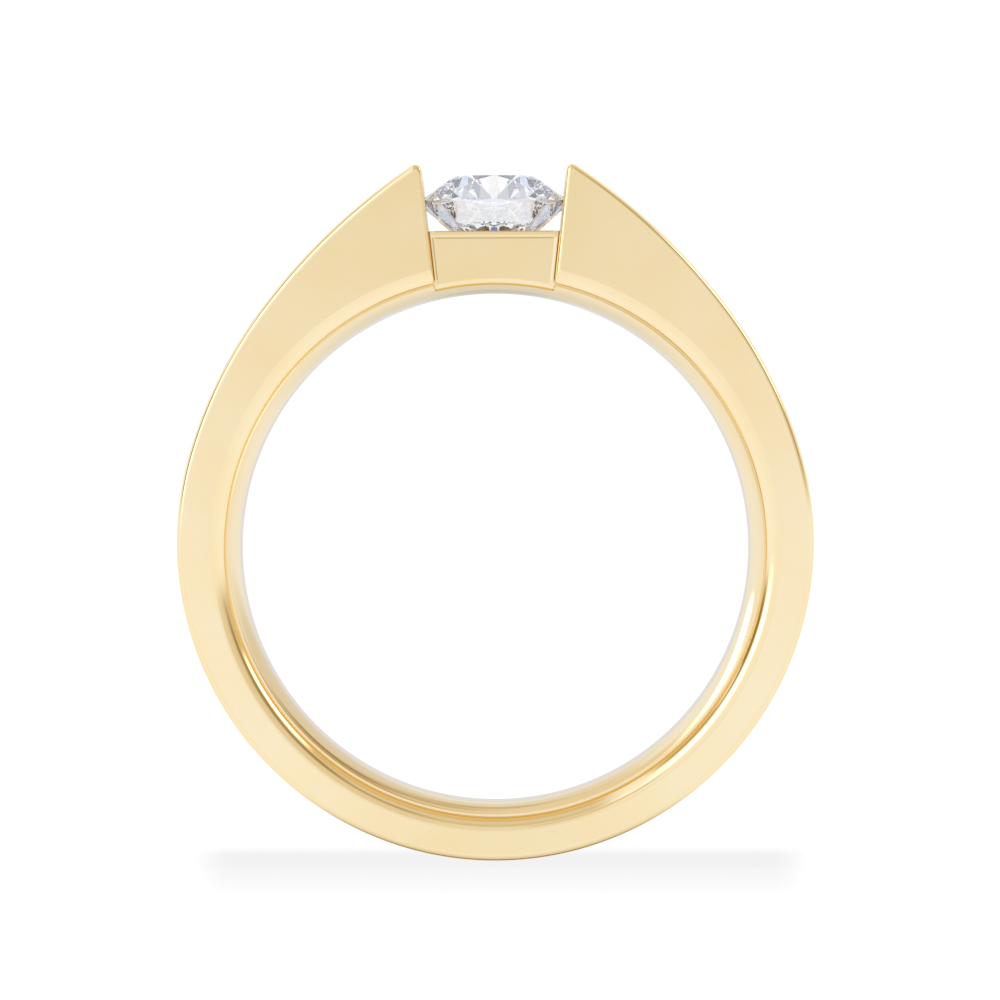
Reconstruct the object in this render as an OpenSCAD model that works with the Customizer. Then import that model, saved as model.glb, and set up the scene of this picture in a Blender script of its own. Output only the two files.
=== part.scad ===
// Solitaire ring: a yellow gold band whose two pointed shoulders hold a round
// brilliant by its girdle, in a channel that is open from front to back.
// The finger hole runs along Z, its centre is the origin, and the stone is at +Y.
// All lengths are in millimetres.

/* [Finger hole] */
// Diameter of the finger hole
finger_d = 17; // [16:0.5:18.5]
// Width of the band, along the finger
band_w = 5.5; // [5:0.5:6.5]
// Width of the straight middle of the comfort fit
straight_w = 1.8; // [1.2:0.2:2.4]
// How far the comfort fit opens out at each end of the hole
flare_rise = 0.47; // [0.3:0.01:0.5]

/* [Band] */
// Thickness of the band at the bottom
bottom_t = 1.88; // [1.7:0.02:2.2]
// Thickness of the band at its sides
side_t = 2.07; // [1.93:0.02:2.41]
// Rounding of the outer edges
edge_r = 0.2; // [0.1:0.05:0.3]
// Rounding of the inner edges, beside the comfort fit
inner_r = 0.6; // [0.4:0.05:0.65]

/* [Shoulders] */
// How much larger the flanks' radius is than the band's outer radius
flank_grow = 4.4; // [3.6:0.1:5]
// How much larger the crests' radius is than the flanks' radius
crest_grow = 5.6; // [4.5:0.1:7]

/* [Channel] */
// Width of the channel just above the comfort fit
channel_w = 4; // [3.6:0.1:4.2]
// Lean of each channel wall, away from the stone
wall_lean = 7; // [5:0.5:8]
// Rounding of the two peaks
peak_r = 0.16; // [0.06:0.02:0.2]

/* [Bridge] */
// Height of the bridge's top above the finger hole
bridge_h = 2.03; // [1.8:0.01:2.1]
// Depth of the bridge's faces behind the faces of the band
bridge_recess = 0.45; // [0.3:0.05:0.6]
// Rounding of the bridge's long edges
bridge_r = 0.26; // [0.15:0.01:0.3]
// Rounding of the bridge's short edges, beside the channel walls
corner_r = 0.2; // [0.1:0.02:0.25]

/* [Stone] */
// Diameter of the stone
stone_d = 5; // [4.8:0.05:5.1]
// Height of the girdle's middle above the finger hole
girdle_h = 3.03; // [2.95:0.01:3.1]
// Thickness of the girdle where the facets' corners meet it
girdle_t = 0.12; // [0.1:0.01:0.2]
// Width of the table, corner to corner, in percent of the diameter
table_pct = 52; // [50:1:60]
// Length of the star facets, in percent of the way from table to girdle
star_pct = 38; // [30:1:50]
// Angle of the crown's main facets
crown_angle = 34.5; // [32:0.5:36]
// Angle of the pavilion's main facets
pavilion_angle = 41.6; // [40.5:0.1:42]
// Length of the lower girdle facets, in percent of the way to the culet
lower_pct = 78; // [70:1:82]
// Gap between the stone and its seat
seat_gap = 0.05; // [0.04:0.01:0.08]

/* [Hidden] */
$fn = 128;

gold = [0.93, 0.80, 0.50];
diamond = [0.90, 0.93, 0.97, 0.6];

bore_r = finger_d / 2;
band_r = bore_r + side_t;
band_rise = side_t - bottom_t;
half_w = band_w / 2;

// The inner edge's rounding stops short of upright, where its radius points this way.
inner_end = [0.8, 0.6];
inner_w = inner_r * inner_end[0];
inner_drop = inner_r * (1 - inner_end[1]);

// The comfort fit's arc and the seam where it meets the rounded inner edge.
seam_r = bore_r + flare_rise;
seam_z = half_w - inner_drop;
flare_run = seam_z - straight_w / 2;
flare_arc_r = (flare_run * flare_run + flare_rise * flare_rise) / (2 * flare_rise);

// The outline's three arcs meet on lines through their centres, so it stays smooth.
// The lines' directions are unit vectors with short decimals, and crest_end is one past the peak.
flank_start = [0.96, 0.28];
crest_start = [0.8, 0.6];
crest_end = [0.48, 0.88];
flank_r = band_r + flank_grow;
crest_r = flank_r + crest_grow;
band_centre = [0, band_rise];
flank_centre = band_centre - flank_grow * flank_start;
crest_centre = flank_centre - crest_grow * crest_start;

// Depth of each sector of the outline, enough to reach inside the finger hole.
band_depth = 3;
flank_depth = 3.6;
crest_depth = 4.4;

channel_foot = seam_r + 0.08;
channel_top = band_r + 4;
wall_along = [sin(wall_lean), cos(wall_lean)];
wall_inward = [cos(wall_lean), -sin(wall_lean)];

// The thin wall that stays round the finger hole under the channel.
liner_r = bore_r + 0.3;

// A rounding that starts this far inside a face meets it at a clear angle.
bite = 0.004;

bridge_top = bore_r + bridge_h;
bridge_half_w = half_w - bridge_recess;

// How far the bridge reaches into the walls beside it and the liner under it.
bridge_bite = 0.04;

stone_r = stone_d / 2;
table_r = stone_r * table_pct / 100;
crown_h = (stone_r - table_r) * tan(crown_angle);
pavilion_h = stone_r * tan(pavilion_angle);
girdle_y = bore_r + girdle_h;
girdle_steps = 6;
drill_r = 0.25;
drill_past = 0.12;
overcut = 1;

// Half the channel's width at height y.
function channel_half(y) = channel_w / 2 + (y - channel_foot) * tan(wall_lean);

// Section of the band: its outer edges are rounded, its inner side is cut later.
module rim_section(r, depth) {
    translate([r - depth, -half_w])
        square([depth - edge_r, band_w]);
    translate([r - depth, edge_r - half_w])
        square([depth, band_w - 2 * edge_r]);
    for (side = [-1, 1])
        translate([r - edge_r, side * (half_w - edge_r)])
            circle(edge_r);
}

module rim(centre, r, depth) {
    translate([centre[0], centre[1], 0])
        rotate_extrude()
            rim_section(r, depth);
}

module slab(outline) {
    linear_extrude(height = band_w + 2 * overcut, center = true)
        polygon(outline);
}

// The part of a rim between two directions from its centre.
module rim_sector(centre, r, depth, from, to) {
    near = r - depth - overcut;
    far = r + 2 * overcut;
    intersection() {
        rim(centre, r, depth);
        slab([
            centre + near * from,
            centre + far * from,
            centre + far * to,
            centre + near * to
        ]);
    }
}

// One shoulder, from where the band's round part ends to past its peak.
module shoulder() {
    rim_sector(flank_centre, flank_r, flank_depth, flank_start, crest_start);
    rim_sector(crest_centre, crest_r, crest_depth, crest_start, crest_end);
}

module band() {
    reach = 2 * band_r;
    side = reach * flank_start;
    difference() {
        rim(band_centre, band_r, band_depth);
        slab([
            band_centre,
            band_centre + side,
            band_centre + [0, reach],
            band_centre + [-side[0], side[1]]
        ]);
    }
}

module band_and_shoulders() {
    band();
    shoulder();
    mirror([1, 0, 0])
        shoulder();
}

// Half of what the finger hole takes away, from its middle to the front face.
module half_hole_section() {
    difference() {
        square([seam_r, seam_z]);
        translate([bore_r + flare_arc_r, straight_w / 2])
            circle(flare_arc_r);
        translate([bore_r, -overcut])
            square([flare_rise + overcut, overcut + straight_w / 2]);
    }
    difference() {
        translate([0, seam_z])
            square([seam_r + inner_w, inner_drop + overcut]);
        translate([seam_r + inner_w, half_w - inner_r])
            circle(inner_r);
    }
}

module finger_hole() {
    rotate_extrude() {
        half_hole_section();
        mirror([0, 1])
            half_hole_section();
    }
}

// Centre of a peak's rounding: it lies as far from the wall as from the crest.
function peak_centre() =
    let (
        in = peak_r - bite,
        start = [channel_w / 2, channel_foot] + in * wall_inward - crest_centre,
        along = start * wall_along,
        reach = crest_r - in,
        t = -along + sqrt(along * along - start * start + reach * reach)
    )
    crest_centre + start + t * wall_along;

// What the rounding takes off the sharp peak at +X.
module peak_cut() {
    centre = peak_centre();
    outward = (centre - crest_centre) / norm(centre - crest_centre);
    on_wall = centre - 2 * peak_r * wall_inward;
    on_crest = centre + 2 * peak_r * outward;
    tip = centre + 6 * peak_r * (outward - wall_inward);
    difference() {
        slab([centre, on_crest, tip, on_wall]);
        translate([centre[0], centre[1], 0])
            cylinder(r = peak_r, h = band_w + 4 * overcut, center = true);
    }
}

module channel() {
    foot = bore_r - 1;
    difference() {
        slab([
            [-channel_half(foot), foot],
            [channel_half(foot), foot],
            [channel_half(channel_top), channel_top],
            [-channel_half(channel_top), channel_top]
        ]);
        cylinder(r = liner_r, h = band_w + 4 * overcut, center = true);
    }
}

// A bar with a rounded rectangular section, long enough for every cut that it makes.
module rounded_bar(low, high, half_depth, r) {
    linear_extrude(height = 2 * band_r, center = true)
        union() {
            translate([low, r - half_depth])
                square([high - low, 2 * (half_depth - r)]);
            translate([low + r, -half_depth])
                square([high - low - 2 * r, 2 * half_depth]);
            for (x = [low + r, high - r], y = [r - half_depth, half_depth - r])
                translate([x, y])
                    circle(r);
        }
}

// Rounds the bridge's long edges at the top.
module bridge_top_form() {
    rotate([0, 90, 0])
        rotate([0, 0, 90])
            rounded_bar(bore_r - 2, bridge_top, bridge_half_w, bridge_r);
}

// Rounds the short edges beside one wall, and reaches a little into the wall.
module bridge_side_form() {
    translate([channel_w / 2, channel_foot, 0])
        rotate([0, 0, -wall_lean])
            rotate([90, 0, 0])
                rounded_bar(-2 * channel_w, bridge_bite, bridge_half_w, corner_r);
}

// Rounds the long edges at the bottom, where the bridge bends over the liner.
module bridge_foot_form() {
    inner = liner_r - bridge_bite;
    rotate_extrude()
        union() {
            translate([inner, bridge_r - bridge_half_w])
                square([bridge_h + 2, 2 * (bridge_half_w - bridge_r)]);
            translate([inner + bridge_r, -bridge_half_w])
                square([bridge_h + 2 - bridge_r, 2 * bridge_half_w]);
            for (side = [-1, 1])
                translate([inner + bridge_r, side * (bridge_half_w - bridge_r)])
                    circle(bridge_r);
        }
}

module bridge() {
    intersection() {
        bridge_top_form();
        bridge_side_form();
        mirror([1, 0, 0])
            bridge_side_form();
        bridge_foot_form();
    }
}

// Room for the stone: its own outline, larger by the gap, turned about its axis.
// A small drilled hole goes on below the cone and clears the stone's point.
module stone_seat() {
    seat_r = stone_r + seat_gap;
    half_girdle = (girdle_t + seat_gap) / 2;
    cone_h = (seat_r - drill_r) * tan(pavilion_angle);
    translate([0, girdle_y, 0])
        rotate([-90, 0, 0])
            rotate_extrude()
                polygon([
                    [0, culet_z - drill_past],
                    [drill_r, culet_z - drill_past],
                    [drill_r, -half_girdle - cone_h],
                    [seat_r, -half_girdle],
                    [seat_r, half_girdle],
                    [0, half_girdle + seat_r * tan(crown_angle)]
                ]);
}

module ring_shank() {
    color(gold)
        difference() {
            union() {
                difference() {
                    band_and_shoulders();
                    finger_hole();
                    channel();
                    peak_cut();
                    mirror([1, 0, 0])
                        peak_cut();
                }
                bridge();
            }
            stone_seat();
        }
}

function polar(r, angle, z) = [r * cos(angle), r * sin(angle), z];

// Height of the plane through a, b and c above the point p.
function plane_z(a, b, c, p) =
    let (n = cross(b - a, c - a))
    a[2] - (n[0] * (p[0] - a[0]) + n[1] * (p[1] - a[1])) / n[2];

// The curved edge of a flat facet beside the girdle, from 0 to 22.5 degrees: it runs
// on the round side of the stone, at the height that the facet's plane has there.
function girdle_arc(tip, from, to) = [
    for (i = [0:girdle_steps])
        let (p = polar(stone_r, 22.5 * i / girdle_steps, 0))
        [p[0], p[1], plane_z(tip, from, to, p)]
];

// Corners of the facets in the first eighth, from 0 to 45 degrees. The main facets'
// planes pass through 0 and 45 degrees, so a corner at 22.5 lies cos(22.5) as far out.
crown_z = girdle_t / 2 + crown_h;
culet_z = -girdle_t / 2 - pavilion_h;
table_side_r = table_r * cos(22.5);
star_r = table_side_r + star_pct / 100 * (stone_r - table_side_r);
star_tip = polar(star_r, 22.5, crown_z - (star_r * cos(22.5) - table_r) * tan(crown_angle));
lower_r = stone_r * (1 - lower_pct / 100);
lower_tip = polar(lower_r, 22.5, culet_z + lower_r * cos(22.5) * tan(pavilion_angle));
girdle_top = [for (angle = [0, 22.5]) polar(stone_r, angle, girdle_t / 2)];
girdle_foot = [for (angle = [0, 22.5]) polar(stone_r, angle, -girdle_t / 2)];
upper_half = girdle_arc(star_tip, girdle_top[0], girdle_top[1]);
lower_half = girdle_arc(lower_tip, girdle_foot[0], girdle_foot[1]);

function turned(p, angle) = [
    p[0] * cos(angle) - p[1] * sin(angle),
    p[0] * sin(angle) + p[1] * cos(angle),
    p[2]
];

// The half facet mirrored about the line at 22.5 degrees gives the other half.
function whole_arc(half) = concat(
    half,
    [
        for (i = [girdle_steps - 1:-1:1])
            let (r = norm([half[i][0], half[i][1]]), a = atan2(half[i][1], half[i][0]))
            polar(r, 45 - a, half[i][2])
    ]
);

function ring_of(points) = [for (k = [0:7]) for (p = points) turned(p, 45 * k)];

arc_n = 2 * girdle_steps;
girdle_n = 8 * arc_n;

stone_points = concat(
    ring_of([polar(table_r, 0, crown_z)]),
    ring_of([star_tip]),
    ring_of(whole_arc(upper_half)),
    ring_of(whole_arc(lower_half)),
    ring_of([lower_tip]),
    [[0, 0, culet_z]]
);

star_at = 8;
upper_at = 16;
lower_at = upper_at + girdle_n;
tip_at = lower_at + girdle_n;
culet_at = tip_at + 8;

function around(i, n) = (i + n) % n;

table_face = [[for (k = [7:-1:0]) k]];
star_faces = [for (k = [0:7]) [k, around(k + 1, 8), star_at + k]];
crown_mains = [
    for (k = [0:7])
        [k, star_at + k, upper_at + arc_n * k, star_at + around(k - 1, 8)]
];
upper_faces = [
    for (k = [0:7], half = [0, 1])
        concat(
            [star_at + k],
            [
                for (i = [girdle_steps:-1:0])
                    upper_at + around(arc_n * k + girdle_steps * half + i, girdle_n)
            ]
        )
];
girdle_faces = [
    for (i = [0:girdle_n - 1])
        let (j = around(i + 1, girdle_n))
        [upper_at + i, upper_at + j, lower_at + j, lower_at + i]
];
lower_faces = [
    for (k = [0:7], half = [0, 1])
        concat(
            [tip_at + k],
            [
                for (i = [0:girdle_steps])
                    lower_at + around(arc_n * k + girdle_steps * half + i, girdle_n)
            ]
        )
];
pavilion_mains = [
    for (k = [0:7])
        [culet_at, tip_at + around(k - 1, 8), lower_at + arc_n * k, tip_at + k]
];

module stone() {
    color(diamond)
        translate([0, girdle_y, 0])
            rotate([-90, 0, 0])
                polyhedron(
                    points = stone_points,
                    faces = concat(
                        table_face,
                        star_faces,
                        crown_mains,
                        upper_faces,
                        girdle_faces,
                        lower_faces,
                        pavilion_mains
                    ),
                    convexity = 2
                );
}

ring_shank();
stone();
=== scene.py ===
import math

import bmesh
import bpy
from mathutils import Matrix, Vector


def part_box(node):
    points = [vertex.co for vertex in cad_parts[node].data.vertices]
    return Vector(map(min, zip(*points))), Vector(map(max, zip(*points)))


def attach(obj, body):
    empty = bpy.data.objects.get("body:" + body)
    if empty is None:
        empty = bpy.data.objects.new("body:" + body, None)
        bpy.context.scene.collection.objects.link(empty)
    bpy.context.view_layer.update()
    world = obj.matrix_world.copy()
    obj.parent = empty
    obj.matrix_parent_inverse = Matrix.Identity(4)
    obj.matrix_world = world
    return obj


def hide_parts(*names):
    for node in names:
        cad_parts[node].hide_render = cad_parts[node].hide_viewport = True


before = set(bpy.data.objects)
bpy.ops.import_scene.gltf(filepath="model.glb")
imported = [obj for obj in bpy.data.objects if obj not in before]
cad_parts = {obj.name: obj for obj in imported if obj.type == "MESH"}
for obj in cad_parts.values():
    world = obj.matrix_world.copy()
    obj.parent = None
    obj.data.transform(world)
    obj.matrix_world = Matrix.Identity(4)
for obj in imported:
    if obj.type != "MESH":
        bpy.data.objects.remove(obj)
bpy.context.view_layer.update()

MM = 0.001
scene = bpy.context.scene

# The sizes of the gold, in millimetres, about the finger hole's centre
HALF_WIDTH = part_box("ring_shank")[1].z / MM
BORE_R = 8.5
STRAIGHT_HALF = 0.9
SEAM_R = 8.97
BAND_R = 10.57
BAND_RISE = 0.19
EDGE_R = 0.2
WALL_EDGE_R = 0.14

# The inner edge's rounding stops short of upright, where it meets the liner at a fine groove. The liner's lip
# there is rounded, and the groove is measured from that share of its radius
INNER_R = 0.6
INNER_WIDTH = 0.48
INNER_DROP = 0.24
SEAM_Z = HALF_WIDTH - INNER_DROP
GROOVE_WIDTH = 0.02
GROOVE_DEPTH = 0.02
LIP_R = 0.006
LIP_SHARE = 0.6

# The flank's arc, and then the crest's, is this much wider than the arc before it, and starts in this
# direction from its centre
FLANK_GROW = 4.4
CREST_GROW = 5.6
FLANK_START = Vector((0.96, 0.28))
CREST_START = Vector((0.8, 0.6))
PEAK_R = 0.2

# The channel's wall at +X passes through a point at its foot and leans outwards
WALL_LEAN = math.radians(6.2)
WALL_FOOT = Vector((2.03, 9.05))
WALL_UP = Vector((math.sin(WALL_LEAN), math.cos(WALL_LEAN)))
WALL_IN = Vector((math.cos(WALL_LEAN), -math.sin(WALL_LEAN)))
FOOT_CORNER_R = 0.08

# The bridge under the stone: its rounded edges are (radius, width) where the two differ
BRIDGE_TOP = 10.53
BRIDGE_HALF = HALF_WIDTH - 0.45
BRIDGE_EDGE_R = 0.26
BRIDGE_BEVEL = (1.8, 0.24)
BRIDGE_SIDE_R = 0.1
BRIDGE_FOOT_WIDTH = 0.19
BRIDGE_CORNER_R = 0.05

# How far the bridge and the cutters reach into the metal beside them
BRIDGE_BITE = 0.04
CHANNEL_BITE = 0.02
SLIT_BITE = 0.004
SLIT_MARGIN = 0.2

# The slits beside the bridge, and the liner's outer side under it
SLIT_WIDTH = 0.05
SLIT_DEPTH = 0.4
LINER_TOP_R = 8.8

# The round brilliant, and the seat that the bridge and the walls have for it
STONE_R = 2.5
GIRDLE_Y = 11.53
GIRDLE_T = 0.12
TABLE_SHARE = 0.52
STAR_SHARE = 0.38
LOWER_SHARE = 0.78
CROWN_ANGLE = math.radians(34.5)
PAVILION_ANGLE = math.radians(41.6)
SEAT_GAP = 0.05
CULET_HOLE_R = 0.25
CULET_HOLE_DEPTH = 0.12

# How finely round shapes are cut up
OUTLINE_STEP = 0.2
FILLET_STEPS = 14
FLAT_MARGIN = 0.01
RING_STEPS = 440
FLARE_STEPS = 24
LIP_STEPS = 4
BRIDGE_STEPS = 30
BRIDGE_SIDE_STEPS = 16
CHANNEL_STEPS = 24
SEAT_STEPS = 192
FACET_EDGE_STEPS = 8
CREASE_DEGREES = 24

# The gold's outline: arcs of the band, a flank, a crest and a peak, each (centre, radius)
FLANK_R = BAND_R + FLANK_GROW
CREST_R = FLANK_R + CREST_GROW
BAND_C = Vector((0, BAND_RISE))
FLANK_C = BAND_C - FLANK_GROW * FLANK_START
CREST_C = FLANK_C - CREST_GROW * CREST_START


def angle_of(v):
    return math.atan2(v.y, v.x)


def arc_points(centre, radius, start, end, count):
    """count + 1 points from one angle to another."""
    turns = (start + (end - start) * i / count for i in range(count + 1))
    return [centre + radius * Vector((math.cos(t), math.sin(t))) for t in turns]


def line_points(start, end, count):
    return [start.lerp(end, i / count) for i in range(count + 1)]


def on_wall_and_circle(inset, centre, radius):
    """Where the wall's line, moved into the metal by inset, leaves a circle at its upper side."""
    start = WALL_FOOT + inset * WALL_IN - centre
    along = start.dot(WALL_UP)
    root = math.sqrt(along * along - start.dot(start) + radius * radius)
    return centre + start + (root - along) * WALL_UP


def steps_for(length):
    return max(2, round(length / OUTLINE_STEP))


BAND_END = angle_of(FLANK_START)
FLANK_END = angle_of(CREST_START)
BAND_STEPS = steps_for(BAND_R * (math.pi / 2 + BAND_END))
FLANK_STEPS = steps_for(FLANK_R * (FLANK_END - BAND_END))
CREST_STEPS = 44
PEAK_STEPS = 14
WALL_STEPS = 24
CORNER_STEPS = 6
INNER_STEPS = steps_for(SEAM_R * math.pi)


def half_outline(edge, wall, inner):
    """The gold's outline at +X, from the bottom up over the peak, down the wall and back along the finger
    hole. It is moved into the metal by edge on its outer side, by wall beside the channel and by inner at the
    finger hole."""
    peak_r = PEAK_R - (edge + wall) / 4
    peak_c = on_wall_and_circle(wall + peak_r, CREST_C, CREST_R - edge - peak_r)
    crest_stop = angle_of(peak_c - CREST_C)
    corner_c = on_wall_and_circle(wall + FOOT_CORNER_R, Vector((0, 0)), SEAM_R + inner + FOOT_CORNER_R)
    corner_stop = angle_of(corner_c)
    wall_side = angle_of(-WALL_IN)
    points = arc_points(BAND_C, BAND_R - edge, -math.pi / 2, BAND_END, BAND_STEPS)
    points += arc_points(FLANK_C, FLANK_R - edge, BAND_END, FLANK_END, FLANK_STEPS)[1:]
    points += arc_points(CREST_C, CREST_R - edge, FLANK_END, crest_stop, CREST_STEPS)[1:]
    points += arc_points(peak_c, peak_r, crest_stop, wall_side, PEAK_STEPS)[1:]
    foot = corner_c - FOOT_CORNER_R * WALL_IN
    points += line_points(points[-1], foot, WALL_STEPS)[1:]
    points += arc_points(corner_c, FOOT_CORNER_R, wall_side, corner_stop + math.pi, CORNER_STEPS)[1:]
    points += arc_points(Vector((0, 0)), SEAM_R + inner, corner_stop, -math.pi / 2, INNER_STEPS)[1:]
    return points


def inset_at(z, half_depth, radius, width):
    """How far a rounded edge, which is width wide in all, has drawn the outline in at height z."""
    past = abs(z) - (half_depth - radius)
    if past <= 0:
        return 0.0
    return max(width - math.sqrt(max(radius * radius - past * past, 0)), 0.0)


def fillet_heights(half_depth, edges):
    """Heights of the outlines from front to back: close together on the rounded edges, with a thin
    straight strip where they end."""
    heights = {half_depth}
    for radius, width in edges:
        stop = math.asin(width / radius)
        steps = max(4, round(FILLET_STEPS * stop / (math.pi / 2)))
        drops = [radius * (1 - math.cos(stop * i / steps)) for i in range(1, steps + 1)]
        heights |= {half_depth - d for d in drops + [drops[-1] + FLAT_MARGIN]}
    heights = sorted({round(h, 4) for h in heights}, reverse=True)
    return heights + [-h for h in reversed(heights)]


def mesh_object(name, verts, faces):
    mesh = bpy.data.meshes.new(name)
    mesh.from_pydata([tuple(c * MM for c in v) for v in verts], [], faces)
    mesh.validate()
    mesh.update()
    obj = bpy.data.objects.new(name, mesh)
    scene.collection.objects.link(obj)
    return obj


def loops_object(name, loops, closed_ends=True):
    """A mesh skinned over loops of equally many points, with its first and last loops capped."""
    count = len(loops[0])
    verts = [p for loop in loops for p in loop]
    faces = []
    for row in range(len(loops) - 1):
        for i in range(count):
            j = (i + 1) % count
            a, b = row * count, (row + 1) * count
            faces.append((a + i, b + i, b + j, a + j))
    if closed_ends:
        last = (len(loops) - 1) * count
        faces.append(tuple(range(count)))
        faces.append(tuple(last + i for i in reversed(range(count))))
    return mesh_object(name, verts, faces)


def prism_object(name, outline, half_depth):
    return loops_object(name, [[(p.x, p.y, z) for p in outline] for z in (half_depth, -half_depth)])


def slab_object(name, outline, half_depth, edges):
    """A slab with rounded edges, each (radius, width). outline(insets) gives its closed outline."""
    loops = []
    heights = fillet_heights(half_depth, edges)
    margin = outline([width + FLAT_MARGIN for radius, width in edges])
    loops.append([(p.x, p.y, half_depth) for p in margin])
    for z in heights:
        insets = [inset_at(z, half_depth, *edge) for edge in edges]
        loops.append([(p.x, p.y, z) for p in outline(insets)])
    loops.append([(p.x, p.y, -half_depth) for p in margin])
    return loops_object(name, loops)


def with_mirror_image(half):
    """A half outline that starts and ends at X = 0, closed by its mirror image."""
    return half + [Vector((-p.x, p.y)) for p in half[-2:0:-1]]


def band_outline(insets):
    """The ring is open at the channel, so one outline runs up the outside and back along the finger hole."""
    return with_mirror_image(half_outline(*insets))


def bridge_outline(insets):
    """The bridge between the walls, from the middle of its top down a side and back along its foot."""
    top, side, foot = insets
    wall = BRIDGE_BITE - side
    foot_r = LINER_TOP_R - BRIDGE_BITE + foot
    start = WALL_FOOT + wall * WALL_IN
    corner_y = BRIDGE_TOP - top - BRIDGE_CORNER_R
    inner = start - BRIDGE_CORNER_R * WALL_IN
    corner_c = inner + (corner_y - inner.y) / WALL_UP.y * WALL_UP
    side_low = on_wall_and_circle(wall, Vector((0, 0)), foot_r)
    points = [Vector((0, BRIDGE_TOP - top))]
    points += line_points(points[0], corner_c + Vector((0, BRIDGE_CORNER_R)), BRIDGE_STEPS)[1:]
    points += arc_points(corner_c, BRIDGE_CORNER_R, math.pi / 2, angle_of(WALL_IN), CORNER_STEPS)[1:]
    points += line_points(points[-1], side_low, BRIDGE_SIDE_STEPS)[1:]
    points += arc_points(Vector((0, 0)), foot_r, angle_of(side_low), math.pi / 2, BRIDGE_STEPS)[1:]
    return with_mirror_image(points)


def channel_outline():
    """The channel's space above the liner, reaching a little into both walls."""
    low = on_wall_and_circle(CHANNEL_BITE, Vector((0, 0)), LINER_TOP_R)
    high = WALL_FOOT + CHANNEL_BITE * WALL_IN + 0.5 * WALL_UP
    points = [Vector((0, high.y)), high] + line_points(high, low, 4)[1:]
    points += arc_points(Vector((0, 0)), LINER_TOP_R, angle_of(low), math.pi / 2, CHANNEL_STEPS)[1:]
    return with_mirror_image(points)


def slit_outline():
    """A fine slit between the bridge and the wall at +X."""
    low = on_wall_and_circle(SLIT_BITE, Vector((0, 0)), LINER_TOP_R - 0.02)
    top_y = BRIDGE_TOP + 0.3
    high = WALL_FOOT + SLIT_BITE * WALL_IN + (top_y - WALL_FOOT.y) / WALL_UP.y * WALL_UP
    wide = SLIT_WIDTH * WALL_IN
    return [low, high, high - wide, low - wide]


def liner_section():
    """Half section of the liner as (radius, z): straight, then flared, then round into the seam's groove."""
    rise = SEAM_R - GROOVE_WIDTH - LIP_SHARE * LIP_R - BORE_R
    run = SEAM_Z - STRAIGHT_HALF
    flare_r = (run * run + rise * rise) / (2 * rise)
    stop = math.asin(run / flare_r)
    centre = Vector((BORE_R + flare_r, STRAIGHT_HALF))
    flare = arc_points(centre, flare_r, math.pi, math.pi - stop, FLARE_STEPS)
    lip_c = flare[-1] + LIP_R * Vector((math.cos(stop), -math.sin(stop)))
    lip = arc_points(lip_c, LIP_R, math.pi - stop, 0, LIP_STEPS)

    # The last point lies within the band's metal
    inside = lip[-1] + 4 * Vector((GROOVE_WIDTH, -GROOVE_DEPTH))
    return [Vector((BORE_R, 0))] + flare + lip[1:] + [inside]


def turned_object(name, section, steps, axis="Z"):
    """A closed section of (radius, height) points turned about an axis."""
    loops = []
    for i in range(steps):
        turn = 2 * math.pi * i / steps
        loops.append([(p.x * math.cos(turn), p.x * math.sin(turn), p.y) for p in section])
    obj = loops_object(name, loops + loops[:1], closed_ends=False)
    work = bmesh.new()
    work.from_mesh(obj.data)
    bmesh.ops.remove_doubles(work, verts=work.verts, dist=1e-8)
    bmesh.ops.recalc_face_normals(work, faces=work.faces)
    if axis == "Y":
        bmesh.ops.rotate(work, verts=work.verts, matrix=Matrix.Rotation(-math.pi / 2, 3, "X"))
    work.to_mesh(obj.data)
    work.free()
    return obj


def fuse(base, others, operation):
    """Applies a boolean of each of others to base and removes them."""
    for other in others:
        step = base.modifiers.new("fuse", "BOOLEAN")
        step.operation = operation
        step.object = other
        step.solver = "MANIFOLD"
        fused = bpy.data.meshes.new_from_object(base.evaluated_get(bpy.context.evaluated_depsgraph_get()))
        base.modifiers.clear()
        old = base.data
        base.data = fused
        bpy.data.meshes.remove(old)
        bpy.data.objects.remove(other)


def outward(obj):
    """Turns every face of a closed mesh outwards."""
    work = bmesh.new()
    work.from_mesh(obj.data)
    bmesh.ops.recalc_face_normals(work, faces=work.faces)
    work.to_mesh(obj.data)
    work.free()


def smooth_with_creases(obj, degrees):
    obj.data.shade_smooth()
    obj.data.set_sharp_from_angle(angle=math.radians(degrees))


def seat_cutter():
    """The stone's own shape, a little larger all round, and a small round hole under its point."""
    seat_r = STONE_R + SEAT_GAP
    half = (GIRDLE_T + SEAT_GAP) / 2
    depth = (seat_r - CULET_HOLE_R) * math.tan(PAVILION_ANGLE)
    hole_y = -GIRDLE_T / 2 - STONE_R * math.tan(PAVILION_ANGLE) - CULET_HOLE_DEPTH
    section = [
        Vector((0, hole_y)),
        Vector((CULET_HOLE_R, hole_y)),
        Vector((CULET_HOLE_R, -half - depth)),
        Vector((seat_r, -half)),
        Vector((seat_r, half)),
        Vector((0, half + seat_r * math.tan(CROWN_ANGLE))),
    ]
    cutter = turned_object("seat_cutter", section, SEAT_STEPS, axis="Y")
    cutter.data.transform(Matrix.Translation((0, GIRDLE_Y * MM, 0)))
    return cutter


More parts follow.
